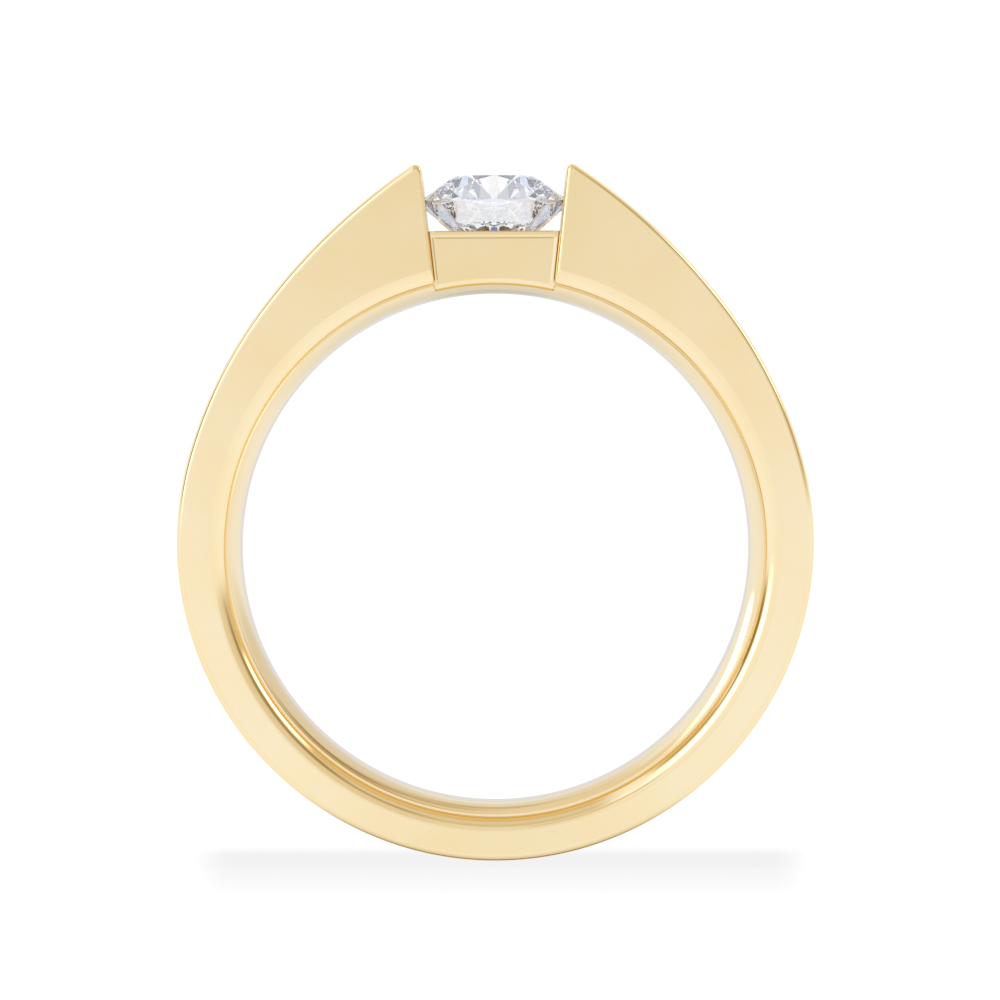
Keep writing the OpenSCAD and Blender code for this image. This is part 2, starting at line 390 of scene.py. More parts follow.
def make_shank():
    """The band, the liner and the bridge, fused into one closed mesh, with the slits and the stone's seat
    cut out of it."""
    edges = ((EDGE_R, EDGE_R), (WALL_EDGE_R, WALL_EDGE_R), (INNER_R, INNER_WIDTH))
    shank = slab_object("gold_shank", band_outline, HALF_WIDTH, edges)
    half = liner_section()
    section = half + [Vector((p.x, -p.y)) for p in reversed(half[1:])]
    liner = turned_object("liner", section, RING_STEPS)
    edges = (BRIDGE_BEVEL, (BRIDGE_SIDE_R, BRIDGE_SIDE_R), (BRIDGE_EDGE_R, BRIDGE_FOOT_WIDTH))
    bridge = slab_object("bridge", bridge_outline, BRIDGE_HALF, edges)
    for piece in (shank, liner, bridge):
        outward(piece)
    channel = prism_object("channel_above_liner", channel_outline(), HALF_WIDTH)
    outward(channel)
    fuse(liner, [channel], "DIFFERENCE")
    slits = []
    for side in (1, -1):
        for face in (1, -1):
            ends = (face * (BRIDGE_HALF + SLIT_MARGIN), face * (BRIDGE_HALF - SLIT_DEPTH))
            slit = loops_object("slit", [[(side * p.x, p.y, z) for p in slit_outline()] for z in ends])
            outward(slit)
            slits.append(slit)
    fuse(bridge, slits, "DIFFERENCE")
    fuse(shank, [liner, bridge], "UNION")
    fuse(shank, [seat_cutter()], "DIFFERENCE")
    smooth_with_creases(shank, CREASE_DEGREES)
    return shank


def brilliant_facets():
    """Corners and flat faces of a round brilliant about Z, table up, its girdle's middle at 0."""
    table_r = STONE_R * TABLE_SHARE
    eighth = math.pi / 4
    sixteenth = math.pi / 8
    crown_z = GIRDLE_T / 2 + (STONE_R - table_r) * math.tan(CROWN_ANGLE)
    culet_z = -GIRDLE_T / 2 - STONE_R * math.tan(PAVILION_ANGLE)
    side_r = table_r * math.cos(sixteenth)
    star_r = side_r + STAR_SHARE * (STONE_R - side_r)
    star_z = crown_z - (star_r * math.cos(sixteenth) - table_r) * math.tan(CROWN_ANGLE)
    lower_r = STONE_R * (1 - LOWER_SHARE)
    lower_z = culet_z + lower_r * math.cos(sixteenth) * math.tan(PAVILION_ANGLE)

    def at(r, turn, z):
        return Vector((r * math.cos(turn), r * math.sin(turn), z))

    def girdle_arc(tip, from_turn, to_turn, z):
        """The edge of a flat facet on the stone's round side."""
        start, end = at(STONE_R, from_turn, z), at(STONE_R, to_turn, z)
        normal = (start - tip).cross(end - tip)
        points = []
        for i in range(FACET_EDGE_STEPS + 1):
            p = at(STONE_R, from_turn + (to_turn - from_turn) * i / FACET_EDGE_STEPS, 0)
            lift = (normal.x * (tip.x - p.x) + normal.y * (tip.y - p.y)) / normal.z + tip.z
            points.append(Vector((p.x, p.y, lift)))
        return points

    faces = [[at(table_r, eighth * k, crown_z) for k in range(8)]]
    for k in range(8):
        turn = eighth * k
        here, there = at(table_r, turn, crown_z), at(table_r, turn + eighth, crown_z)
        star, star_before = at(star_r, turn + sixteenth, star_z), at(star_r, turn - sixteenth, star_z)
        low, low_before = at(lower_r, turn + sixteenth, lower_z), at(lower_r, turn - sixteenth, lower_z)
        faces.append([there, here, star])
        faces.append([here, star_before, at(STONE_R, turn, GIRDLE_T / 2), star])
        faces.append([low, at(STONE_R, turn, -GIRDLE_T / 2), low_before, Vector((0, 0, culet_z))])
        for half in (0, 1):
            start = turn + sixteenth * half
            upper = girdle_arc(star, start, start + sixteenth, GIRDLE_T / 2)
            lower = girdle_arc(low, start, start + sixteenth, -GIRDLE_T / 2)
            faces.append([star] + upper)
            faces.append([low] + lower[::-1])
            for i in range(len(upper) - 1):
                faces.append([upper[i], lower[i], lower[i + 1], upper[i + 1]])
    return faces


def make_stone():
    """Every facet is flat and keeps its sharp edges; only the fine girdle is round."""
    verts, faces = [], []
    for face in brilliant_facets():
        faces.append(tuple(range(len(verts), len(verts) + len(face))))
        verts += [tuple(p) for p in face]
    stone = mesh_object("round_brilliant", verts, faces)
    work = bmesh.new()
    work.from_mesh(stone.data)
    bmesh.ops.remove_doubles(work, verts=work.verts, dist=1e-7)
    bmesh.ops.rotate(work, verts=work.verts, matrix=Matrix.Rotation(-math.pi / 2, 3, "X"))
    bmesh.ops.translate(work, verts=work.verts, vec=(0, GIRDLE_Y * MM, 0))
    bmesh.ops.recalc_face_normals(work, faces=work.faces)
    work.to_mesh(stone.data)
    work.free()
    return stone


def colour(hex_value):
    """An sRGB hex value as linear red, green, blue and alpha."""
    def linear(byte):
        c = byte / 255
        return c / 12.92 if c <= 0.04045 else ((c + 0.055) / 1.055) ** 2.4
    value = int(hex_value.lstrip("#"), 16)
    return tuple(linear(value >> shift & 255) for shift in (16, 8, 0)) + (1.0,)


def light(rgb):
    """Linear red, green and blue with alpha, for light, which may be brighter than any hex value."""
    return tuple(rgb) + (1.0,)


# Settings that many nodes share. A soft range goes from 0 at one value to 1 at another with an easy start and
# stop, and the colour mixer's sockets go by number because their names repeat
TIMES = {"operation": "MULTIPLY"}
PLUS = {"operation": "ADD"}
MINUS = {"operation": "SUBTRACT"}
UNSIGNED = {"operation": "ABSOLUTE"}
LENGTH = {"operation": "LENGTH"}
DISTANCE = {"operation": "DISTANCE"}
SOFT = {"interpolation_type": "SMOOTHSTEP"}
VALUE, ZERO_AT, ONE_AT = 0, 1, 2
COLOURS = {"data_type": "RGBA"}
AMOUNT, UNDER, OVER, MIXED = 0, 6, 7, 2
PER_MM = 1 / MM


def add_node(tree, kind, settings=None, inputs=None, output=0):
    """Adds a node with its settings. Each of its inputs is set to a value or linked to another node's output.
    Gives back one of the new node's outputs."""
    node = tree.nodes.new(kind)
    for key, value in (settings or {}).items():
        setattr(node, key, value)
    for key, value in (inputs or {}).items():
        if isinstance(value, bpy.types.NodeSocket):
            tree.links.new(value, node.inputs[key])
        else:
            node.inputs[key].default_value = value
    return node.outputs[output] if node.outputs else None


def set_stops(ramp, stops):
    """Gives a colour ramp its stops, each (position, light)."""
    points = ramp.elements
    while len(points) < len(stops):
        points.new(1.0)
    for point, (position, rgb) in zip(points, stops):
        point.position = position
        point.color = light(rgb)


def gradient(tree, value, stops):
    """The light at a value, from stops of (value, light)."""
    first, last = stops[0][0], stops[-1][0]
    share = add_node(tree, "ShaderNodeMapRange", None, {VALUE: value, ZERO_AT: first, ONE_AT: last})
    shade = add_node(tree, "ShaderNodeValToRGB", None, {0: share})
    set_stops(shade.node.color_ramp, [((at - first) / (last - first), rgb) for at, rgb in stops])
    return shade


def new_material(name):
    material = bpy.data.materials.new(name)
    material.use_nodes = True
    material.node_tree.nodes.clear()
    return material, material.node_tree


def dress(obj, material):
    """Gives every face one material."""
    obj.data.materials.clear()
    obj.data.materials.append(material)
    obj.data.polygons.foreach_set("material_index", [0] * len(obj.data.polygons))


# Where the gold's finish and its painted lines change, in millimetres. The painted seam line steps in where
# it passes under the bridge
SEAM_LINE_R = 8.965
SEAM_LINE_STEP_IN = 0.19
BEVEL_Y = BRIDGE_TOP - BRIDGE_BEVEL[1]
BRIDGE_LINE_INSET = 0.12
WALL_SLOPE = math.tan(WALL_LEAN)
WALL_X_AT_0 = WALL_FOOT.x - WALL_FOOT.y * WALL_SLOPE


def polished_yellow_gold():
    """Cast 14 carat gold, buffed to a mirror. The buffing leaves faint waves and hairlines, and the alloy is
    a shade redder here and there. Fine lines of painted light lie on it: a painted line along the liner's
    seam, painted shade in the creases and slits beside the bridge and along its top edge, a painted dark
    reflection along the outer edge at the bottom, and painted reflections and a painted highlight along the
    bridge's bevel and sides. The photo also shows fine lines, which may be plain reflections. They are
    painted here, and their causes are guesses: solder in the liner's seam, brown polishing residue in the
    slits beside the bridge, an edge that the palm has rubbed, and burnishing along the bridge's bevel and
    sides."""
    material, tree = new_material("polished_yellow_gold")
    place = add_node(tree, "ShaderNodeTexCoord", output="Object")
    in_mm = add_node(tree, "ShaderNodeVectorMath", TIMES, {0: place, 1: (PER_MM, PER_MM, PER_MM)})
    x = add_node(tree, "ShaderNodeSeparateXYZ", None, {0: in_mm}, "X")
    y = x.node.outputs["Y"]
    unsigned = add_node(tree, "ShaderNodeVectorMath", UNSIGNED, {0: in_mm})
    unsigned_x = add_node(tree, "ShaderNodeSeparateXYZ", None, {0: unsigned}, "X")
    unsigned_z = unsigned_x.node.outputs["Z"]
    in_plane = add_node(tree, "ShaderNodeVectorMath", TIMES, {0: in_mm, 1: (1, 1, 0)})
    from_axis = add_node(tree, "ShaderNodeVectorMath", LENGTH, {0: in_plane}, "Value")

    # The channel between the walls, where the bridge and the liner's top lie
    between = add_node(tree, "ShaderNodeMapRange", SOFT, {VALUE: unsigned_x, ZERO_AT: 1.99, ONE_AT: 1.95})
    stone_side = add_node(tree, "ShaderNodeMapRange", SOFT, {VALUE: y, ZERO_AT: 5, ONE_AT: 6})
    in_channel = add_node(tree, "ShaderNodeMath", TIMES, {0: between, 1: stone_side})

    # The alloy's own colour, with clouds about 3 mm across
    clouds = add_node(tree, "ShaderNodeTexNoise", None, {"Vector": in_mm, "Scale": 0.35, "Detail": 3.0})
    cloudy = add_node(tree, "ShaderNodeMapRange", SOFT, {VALUE: clouds, ZERO_AT: 0.3, ONE_AT: 0.7})
    alloy_and_painted_light = add_node(
        tree,
        "ShaderNodeMix",
        COLOURS,
        {AMOUNT: cloudy, UNDER: colour("#FBE3AE"), OVER: colour("#FBE6B6")},
        MIXED,
    )

    # A painted dark reflection: a deeper gold along the outer edge at the bottom
    from_middle = add_node(
        tree, "ShaderNodeVectorMath", DISTANCE, {0: in_plane, 1: BAND_C.to_3d()}, "Value"
    )
    rim = add_node(
        tree,
        "ShaderNodeMapRange",
        SOFT,
        {VALUE: from_middle, ZERO_AT: BAND_R - EDGE_R - 0.01, ONE_AT: BAND_R + 0.05},
    )
    bottom_side = add_node(tree, "ShaderNodeMapRange", SOFT, {VALUE: y, ZERO_AT: -7.5, ONE_AT: -10})
    painted_bottom_reflection = add_node(tree, "ShaderNodeMath", TIMES, {0: rim, 1: bottom_side})
    alloy_and_painted_light = add_node(
        tree, "ShaderNodeMix", COLOURS, {AMOUNT: painted_bottom_reflection, UNDER: alloy_and_painted_light, OVER: colour("#C59E58")}, MIXED
    )

    # A painted line along the seam: painted shade, deeper gold at the bottom and where the bridge stands on
    # the liner, and a painted highlight, paler than the gold, towards the stone
    step_in = add_node(tree, "ShaderNodeMath", TIMES, {0: in_channel, 1: SEAM_LINE_STEP_IN})
    seam_line_r = add_node(tree, "ShaderNodeMath", MINUS, {0: SEAM_LINE_R, 1: step_in})
    from_seam_line = add_node(tree, "ShaderNodeMath", MINUS, {0: from_axis, 1: seam_line_r})
    from_seam_line = add_node(tree, "ShaderNodeMath", UNSIGNED, {0: from_seam_line})
    on_seam_line = add_node(tree, "ShaderNodeMapRange", SOFT, {VALUE: from_seam_line, ZERO_AT: 0.05, ONE_AT: 0.02})
    near_face = add_node(tree, "ShaderNodeMapRange", SOFT, {VALUE: unsigned_z, ZERO_AT: 1.85, ONE_AT: 1.95})
    painted_seam_line = add_node(tree, "ShaderNodeMath", TIMES, {0: on_seam_line, 1: near_face})
    upwards = add_node(tree, "ShaderNodeMapRange", SOFT, {VALUE: y, ZERO_AT: -6, ONE_AT: -1})
    seam_line_colour = add_node(
        tree,
        "ShaderNodeMix",
        COLOURS,
        {AMOUNT: upwards, UNDER: colour("#F6DA9C"), OVER: colour("#FCEDC6")},
        MIXED,
    )
    seam_line_colour = add_node(
        tree,
        "ShaderNodeMix",
        COLOURS,
        {AMOUNT: in_channel, UNDER: seam_line_colour, OVER: colour("#E6BA60")},
        MIXED,
    )
    alloy_and_painted_light = add_node(
        tree, "ShaderNodeMix", COLOURS, {AMOUNT: painted_seam_line, UNDER: alloy_and_painted_light, OVER: seam_line_colour}, MIXED
    )

    # Painted shade: a deep brown gold wherever a crease above the liner is narrow
    openness = add_node(
        tree,
        "ShaderNodeAmbientOcclusion",
        {"samples": 6, "only_local": True},
        {"Distance": 0.16 * MM},
        "AO",
    )
    narrow = add_node(tree, "ShaderNodeMapRange", SOFT, {VALUE: openness, ZERO_AT: 0.7, ONE_AT: 0.35})
    over_liner = add_node(tree, "ShaderNodeMapRange", SOFT, {VALUE: from_axis, ZERO_AT: 9.0, ONE_AT: 9.2})
    painted_crease_shade = add_node(tree, "ShaderNodeMath", TIMES, {0: narrow, 1: over_liner})
    alloy_and_painted_light = add_node(
        tree, "ShaderNodeMix", COLOURS, {AMOUNT: painted_crease_shade, UNDER: alloy_and_painted_light, OVER: colour("#A66E00")}, MIXED
    )

    # A painted dark reflection: a line along the bridge's bevel
    from_bevel = add_node(tree, "ShaderNodeMath", MINUS, {0: y, 1: BEVEL_Y})
    from_bevel = add_node(tree, "ShaderNodeMath", UNSIGNED, {0: from_bevel})
    on_bevel = add_node(tree, "ShaderNodeMapRange", SOFT, {VALUE: from_bevel, ZERO_AT: 0.026, ONE_AT: 0.008})
    painted_bevel_reflection = add_node(tree, "ShaderNodeMath", TIMES, {0: on_bevel, 1: in_channel})
    alloy_and_painted_light = add_node(
        tree, "ShaderNodeMix", COLOURS, {AMOUNT: painted_bevel_reflection, UNDER: alloy_and_painted_light, OVER: colour("#CDB578")}, MIXED
    )

    # Painted shade: a deeper gold line along the bridge's top edge, under the stone
    below_top = add_node(
        tree, "ShaderNodeMapRange", SOFT, {VALUE: y, ZERO_AT: BRIDGE_TOP + 0.02, ONE_AT: BRIDGE_TOP}
    )
    in_bridge = add_node(tree, "ShaderNodeMath", TIMES, {0: in_channel, 1: below_top})
    near_top = add_node(
        tree, "ShaderNodeMapRange", SOFT, {VALUE: y, ZERO_AT: BRIDGE_TOP - 0.06, ONE_AT: BRIDGE_TOP - 0.02}
    )
    painted_top_edge_shade = add_node(tree, "ShaderNodeMath", TIMES, {0: near_top, 1: in_bridge})
    alloy_and_painted_light = add_node(
        tree, "ShaderNodeMix", COLOURS, {AMOUNT: painted_top_edge_shade, UNDER: alloy_and_painted_light, OVER: colour("#E6B95F")}, MIXED
    )

    # A painted dark reflection down the bridge's left side and a painted highlight down its right side
    wall_lean = add_node(tree, "ShaderNodeMath", TIMES, {0: y, 1: WALL_SLOPE})
    wall_x = add_node(tree, "ShaderNodeMath", PLUS, {0: wall_lean, 1: WALL_X_AT_0})
    from_wall = add_node(tree, "ShaderNodeMath", MINUS, {0: wall_x, 1: unsigned_x})
    from_line = add_node(tree, "ShaderNodeMath", MINUS, {0: from_wall, 1: BRIDGE_LINE_INSET})
    from_line = add_node(tree, "ShaderNodeMath", UNSIGNED, {0: from_line})
    on_line = add_node(tree, "ShaderNodeMapRange", SOFT, {VALUE: from_line, ZERO_AT: 0.03, ONE_AT: 0.012})
    below_bevel = add_node(
        tree, "ShaderNodeMapRange", SOFT, {VALUE: y, ZERO_AT: BEVEL_Y + 0.02, ONE_AT: BEVEL_Y}
    )
    above_liner = add_node(tree, "ShaderNodeMapRange", SOFT, {VALUE: y, ZERO_AT: 8.85, ONE_AT: 8.95})
    on_bridge = add_node(tree, "ShaderNodeMath", TIMES, {0: below_bevel, 1: above_liner})
    painted_side_reflections = add_node(tree, "ShaderNodeMath", TIMES, {0: on_line, 1: on_bridge})
    at_right = add_node(tree, "ShaderNodeMapRange", SOFT, {VALUE: x, ZERO_AT: 0, ONE_AT: 0.1})
    side_reflection_colour = add_node(
        tree,
        "ShaderNodeMix",
        COLOURS,
        {AMOUNT: at_right, UNDER: colour("#CDB884"), OVER: colour("#FFF4D4")},
        MIXED,
    )
    alloy_and_painted_light = add_node(
        tree, "ShaderNodeMix", COLOURS, {AMOUNT: painted_side_reflections, UNDER: alloy_and_painted_light, OVER: side_reflection_colour}, MIXED
    )

    # Hairlines 0.04 mm wide and 0.4 mm long run along the finger and dull the mirror a little
    drawn_out = add_node(tree, "ShaderNodeVectorMath", TIMES, {0: in_mm, 1: (9.0, 9.0, 0.8)})
    hairs = add_node(tree, "ShaderNodeTexNoise", None, {"Vector": drawn_out, "Scale": 3.0, "Detail": 4.0})
    hairlines = add_node(tree, "ShaderNodeMapRange", SOFT, {VALUE: hairs, ZERO_AT: 0.35, ONE_AT: 0.75})
    hair_haze = add_node(tree, "ShaderNodeMath", TIMES, {0: hairlines, 1: 0.05})
    cloud_haze = add_node(tree, "ShaderNodeMath", TIMES, {0: clouds, 1: 0.04})
    haze = add_node(tree, "ShaderNodeMath", PLUS, {0: cloud_haze, 1: hair_haze})
    roughness = add_node(tree, "ShaderNodeMath", PLUS, {0: haze, 1: 0.03})

    # The burnished dip beside the right wall, and the buffing's waves about 1 mm apart
    from_right = add_node(tree, "ShaderNodeMath", MINUS, {0: wall_x, 1: x})
    past_line = add_node(tree, "ShaderNodeMapRange", SOFT, {VALUE: from_right, ZERO_AT: 0.07, ONE_AT: 0.17})
    along_ring = add_node(tree, "ShaderNodeMapRange", SOFT, {VALUE: y, ZERO_AT: -8, ONE_AT: 8})
    dip = add_node(tree, "ShaderNodeMath", TIMES, {0: past_line, 1: along_ring})
    dipped = add_node(tree, "ShaderNodeBump", None, {"Distance": 0.0065 * MM, "Height": dip})
    waves = add_node(tree, "ShaderNodeTexNoise", None, {"Vector": in_mm, "Scale": 1.1, "Detail": 1.0})
    ripples = add_node(
        tree,
        "ShaderNodeBump",
        None,
        {"Strength": 0.1, "Distance": 0.004 * MM, "Height": waves, "Normal": dipped},
    )
    # The base colour is the alloy's own colour with the painted shade, reflections and highlights above laid
    # on it
    surface = add_node(
        tree,
        "ShaderNodeBsdfPrincipled",
        None,
        {"Base Color": alloy_and_painted_light, "Metallic": 1.0, "Roughness": roughness, "Normal": ripples},
    )
    add_node(tree, "ShaderNodeOutputMaterial", None, {"Surface": surface})
    return material


def cut_diamond():
    """Colourless diamond: bright flat facets, and a girdle ground to a fine frost all round the edge. The
    frost shows only from outside, so no facet mirrors a grey band."""
    material, tree = new_material("cut_diamond")
    place = add_node(tree, "ShaderNodeTexCoord", output="Object")
    in_mm = add_node(tree, "ShaderNodeVectorMath", TIMES, {0: place, 1: (PER_MM, PER_MM, PER_MM)})
    across = add_node(tree, "ShaderNodeVectorMath", TIMES, {0: in_mm, 1: (1, 0, 1)})
    from_axis = add_node(tree, "ShaderNodeVectorMath", LENGTH, {0: across}, "Value")
    rim = add_node(
        tree,
        "ShaderNodeMapRange",
        SOFT,
        {VALUE: from_axis, ZERO_AT: STONE_R - 0.008, ONE_AT: STONE_R - 0.001},
    )
    from_inside = add_node(tree, "ShaderNodeNewGeometry", output="Backfacing")
    from_outside = add_node(tree, "ShaderNodeMath", MINUS, {0: 1.0, 1: from_inside})
    girdle = add_node(tree, "ShaderNodeMath", TIMES, {0: rim, 1: from_outside})
    girdle_colour = add_node(
        tree,
        "ShaderNodeMix",
        COLOURS,
        {AMOUNT: girdle, UNDER: colour("#FFFFFF"), OVER: colour("#F4F6FA")},
        MIXED,
    )

    # Grit 0.04 mm across, which is coarser than the real one
    grit = add_node(tree, "ShaderNodeTexNoise", None, {"Vector": in_mm, "Scale": 25.0, "Detail": 2.0})
    grit_haze = add_node(tree, "ShaderNodeMath", TIMES, {0: grit, 1: 0.3})
    ground = add_node(tree, "ShaderNodeMath", PLUS, {0: grit_haze, 1: 0.3})
    frost = add_node(tree, "ShaderNodeMath", TIMES, {0: girdle, 1: ground})
    milky = add_node(tree, "ShaderNodeMath", TIMES, {0: girdle, 1: 0.85})
    clear = add_node(tree, "ShaderNodeMath", MINUS, {0: 1.0, 1: milky})
    surface = add_node(
        tree,
        "ShaderNodeBsdfPrincipled",
        None,
        {"Base Color": girdle_colour, "Roughness": frost, "IOR": 2.417, "Transmission Weight": clear},
    )
    add_node(tree, "ShaderNodeOutputMaterial", None, {"Surface": surface})
    return material


# The painted soft shadow on the light table is a band below the ring, a hair off level: (Y in millimetres,
# light)
SHADOW = (
    (-11.95, (1.03, 1.03, 1.03)),
    (-11.7, (0.98, 0.98, 0.98)),
    (-11.45, (0.955, 0.955, 0.955)),
    (-11.2, (0.932, 0.932, 0.932)),
    (-10.97, (0.922, 0.922, 0.922)),
    (-10.86, (0.888, 0.888, 0.888)),
    (-10.47, (0.888, 0.888, 0.888)),
    (-10.36, (0.93, 0.93, 0.93)),
    (-10.15, (1.03, 1.03, 1.03)),
)
SHADOW_SLOPE = 0.0038

# What the gold mirrors of the table: (distance from the finger hole's axis in millimetres, light)
MIRRORED_TABLE = (
    (0, (0.95, 0.95, 1.02)),
    (4, (0.94, 0.98, 1.12)),
    (5.5, (0.93, 0.96, 1.05)),
    (7.2, (0.9, 0.91, 0.93)),
    (8.2, (0.76, 0.74, 0.75)),
    (9, (0.8, 0.79, 0.8)),
    (11.5, (0.9, 0.92, 0.97)),
    (14, (1.0, 1.02, 1.1)),
    (90, (0.98, 0.99, 1.05)),
)

# Soft oval patches on it, in millimetres: X, Y, half length, half height, share without fading, light
MIRRORED_PATCHES = (
    (0.0, -24.0, 17.0, 12.5, 0.5, (0.5, 0.38, 0.2)),
    (0.0, 7.5, 8.0, 7.0, 0.3, (0.77, 0.79, 0.86)),
    (0.0, 7.6, 2.8, 2.2, 0.3, (0.62, 0.62, 0.64)),
    (-2.6, -3.6, 5.7, 3.6, 0.6, (0.75, 0.73, 0.72)),
    (0.8, -5.5, 4.5, 2.2, 0.3, (0.82, 0.79, 0.74)),
    (0.3, -2.4, 2.6, 2.2, 0.4, (0.83, 0.76, 0.66)),
    (-0.2, -4.7, 2.4, 0.9, 0.2, (0.62, 0.53, 0.4)),
    (1.7, -4.1, 1.5, 0.7, 0.1, (0.8, 0.72, 0.55)),
    (-1.1, -3.3, 1.5, 1.4, 0.2, (0.58, 0.5, 0.38)),
    (-1.6, -2.1, 1.0, 1.1, 0.3, (0.37, 0.28, 0.16)),
    (-0.7, -1.0, 0.9, 1.0, 0.2, (0.5, 0.38, 0.22)),
    (3.4, -1.5, 2.2, 0.8, 0.65, (2.3, 2.3, 2.3)),
    (1.05, -0.85, 0.5, 0.32, 0.5, (2.3, 2.3, 2.3)),
)


def white_light_table():
    """White opal glass lit from below, with a painted soft shadow under the ring, where it glows dimmer. Its
    patches are seen only in the gold, and make the finger hole's side brown at the left and white at the
    right, as in the photo."""
    material, tree = new_material("white_light_table")
    place = add_node(tree, "ShaderNodeNewGeometry", output="Position")
    in_plane = add_node(tree, "ShaderNodeVectorMath", TIMES, {0: place, 1: (PER_MM, PER_MM, 0)})
    from_axis = add_node(tree, "ShaderNodeVectorMath", LENGTH, {0: in_plane}, "Value")
    x = add_node(tree, "ShaderNodeSeparateXYZ", None, {0: in_plane}, "X")
    y = x.node.outputs["Y"]
    slope = add_node(tree, "ShaderNodeMath", TIMES, {0: x, 1: SHADOW_SLOPE})
    sloped_y = add_node(tree, "ShaderNodeMath", PLUS, {0: y, 1: slope})
    shadow = gradient(tree, sloped_y, SHADOW)
    left_end = add_node(tree, "ShaderNodeMapRange", SOFT, {VALUE: x, ZERO_AT: -10.8, ONE_AT: -8.9})
    right_end = add_node(tree, "ShaderNodeMapRange", SOFT, {VALUE: x, ZERO_AT: 11.0, ONE_AT: 9.3})
    in_shadow = add_node(tree, "ShaderNodeMath", TIMES, {0: left_end, 1: right_end})
    glow = add_node(
        tree, "ShaderNodeMix", COLOURS, {AMOUNT: in_shadow, UNDER: light(SHADOW[0][1]), OVER: shadow}, MIXED
    )
    mirrored = gradient(tree, from_axis, MIRRORED_TABLE)
    for patch_x, patch_y, half_length, half_height, full, rgb in MIRRORED_PATCHES:
        apart = add_node(tree, "ShaderNodeVectorMath", MINUS, {0: in_plane, 1: (patch_x, patch_y, 0)})
        apart = add_node(
            tree,
            "ShaderNodeVectorMath",
            {"operation": "DIVIDE"},
            {0: apart, 1: (half_length, half_height, 1)},
        )
        apart = add_node(tree, "ShaderNodeVectorMath", LENGTH, {0: apart}, "Value")
        on_patch = add_node(tree, "ShaderNodeMapRange", SOFT, {VALUE: apart, ZERO_AT: 1.0, ONE_AT: full})
        mirrored = add_node(
            tree, "ShaderNodeMix", COLOURS, {AMOUNT: on_patch, UNDER: mirrored, OVER: light(rgb)}, MIXED
        )
    seen = add_node(tree, "ShaderNodeLightPath", output="Is Camera Ray")
    shown = add_node(tree, "ShaderNodeMix", COLOURS, {AMOUNT: seen, UNDER: mirrored, OVER: glow}, MIXED)
    surface = add_node(tree, "ShaderNodeEmission", None, {"Color": shown})
    add_node(tree, "ShaderNodeOutputMaterial", None, {"Surface": surface})
    return material


def compass(azimuth):
    """The level direction at an azimuth in degrees."""
    turn = math.radians(azimuth)
    return (math.cos(turn), math.sin(turn), 0.0)


def sine(degrees):
    return math.sin(math.radians(degrees))


def on_card(tree, level_look, look_z, azimuth, half_width, low, high, soft):
    """How much of a soft-edged upright card of sky a look meets. The card is given in degrees: its azimuth,
    how far it reaches to each side, its lowest and highest point, and its soft edge."""
    towards = add_node(
        tree,
        "ShaderNodeVectorMath",
        {"operation": "DOT_PRODUCT"},
        {0: level_look, 1: compass(azimuth)},
        "Value",
    )
    outer, inner = (math.cos(math.radians(min(half_width + s, 179))) for s in (2 * soft, -soft))
    sideways = add_node(tree, "ShaderNodeMapRange", SOFT, {VALUE: towards, ZERO_AT: outer, ONE_AT: inner})
    above = add_node(
        tree, "ShaderNodeMapRange", SOFT, {VALUE: look_z, ZERO_AT: sine(low - soft), ONE_AT: sine(low + soft)}
    )
    below = add_node(
        tree,
        "ShaderNodeMapRange",
        SOFT,
        {VALUE: look_z, ZERO_AT: sine(high + soft), ONE_AT: sine(high - soft)},
    )
    upright = add_node(tree, "ShaderNodeMath", TIMES, {0: above, 1: below})
    return add_node(tree, "ShaderNodeMath", TIMES, {0: sideways, 1: upright})


def with_cards(tree, sky, level_look, look_z, cards):
    """A sky with cards hung in it, each a light and then its place in degrees, as on_card takes it."""
    for rgb, *place in cards:
        amount = on_card(tree, level_look, look_z, *place)
        sky = add_node(tree, "ShaderNodeMix", COLOURS, {AMOUNT: amount, UNDER: sky, OVER: light(rgb)}, MIXED)
    return sky


# Camera: far above the finger hole, a little towards the stone, and turned a touch as in the photo
CAMERA_AT = Vector((0.167, 3.677, 257.3))
CAMERA_ROLL = math.radians(-0.22)
CAMERA_SHIFT = -0.063
SENSOR_WIDTH = 36
FRAME_WIDTH_AT_SEAM = 33.19
camera_data = bpy.data.cameras.new("camera")
camera_data.sensor_width = SENSOR_WIDTH
camera_data.lens = SENSOR_WIDTH * (CAMERA_AT.z - SEAM_Z) / FRAME_WIDTH_AT_SEAM
camera_data.shift_y = CAMERA_SHIFT
camera_data.clip_start = 0.01
camera = bpy.data.objects.new("camera", camera_data)
camera.location = CAMERA_AT * MM
camera.rotation_euler.z = CAMERA_ROLL
scene.collection.objects.link(camera)
scene.camera = camera

shank = make_shank()
dress(shank, polished_yellow_gold())
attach(shank, "root")
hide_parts("ring_shank")

# The stone shows the tent and not the gold round it, as in the photo
shank.visible_transmission = False

stone = make_stone()
dress(stone, cut_diamond())
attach(stone, "root")
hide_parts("stone")

# Floor, which the stone doesn't show either
bpy.ops.mesh.primitive_plane_add(size=3, location=(0, 0, -HALF_WIDTH * MM))
floor = bpy.context.object
floor.name = "floor"
floor.data.materials.append(white_light_table())
floor.visible_transmission = False

